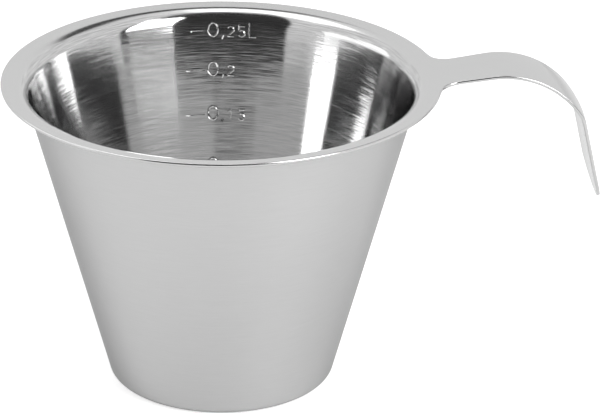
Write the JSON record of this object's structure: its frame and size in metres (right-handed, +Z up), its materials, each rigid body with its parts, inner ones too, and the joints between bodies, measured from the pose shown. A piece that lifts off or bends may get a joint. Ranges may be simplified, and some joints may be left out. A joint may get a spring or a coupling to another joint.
{
  "type": "measuring cup",
  "caption": "Tapered sheet-steel measuring cup with a litre scale pressed inside, a wide turned-out rim and a flat strap handle that bends down at its end.",
  "frame": {"origin": "on the cup's axis, in the plane of the table that it stands on", "axes": "+Z up along the cup's axis; +X along the handle; the scale is on the inner wall near +Y"},
  "size_m": [0.1378, 0.1, 0.0742],
  "materials": {
    "cup_steel": "stainless steel, brushed round the axis inside and out",
    "rim_steel": "stainless steel, even satin",
    "weld_steel": "stainless steel, smooth weld bead, left unbrushed"
  },
  "bodies": {
    "root": {"cup": "cup_steel", "rim_handle": "rim_steel", "rim_weld": "weld_steel"}
  },
  "joints": []
}
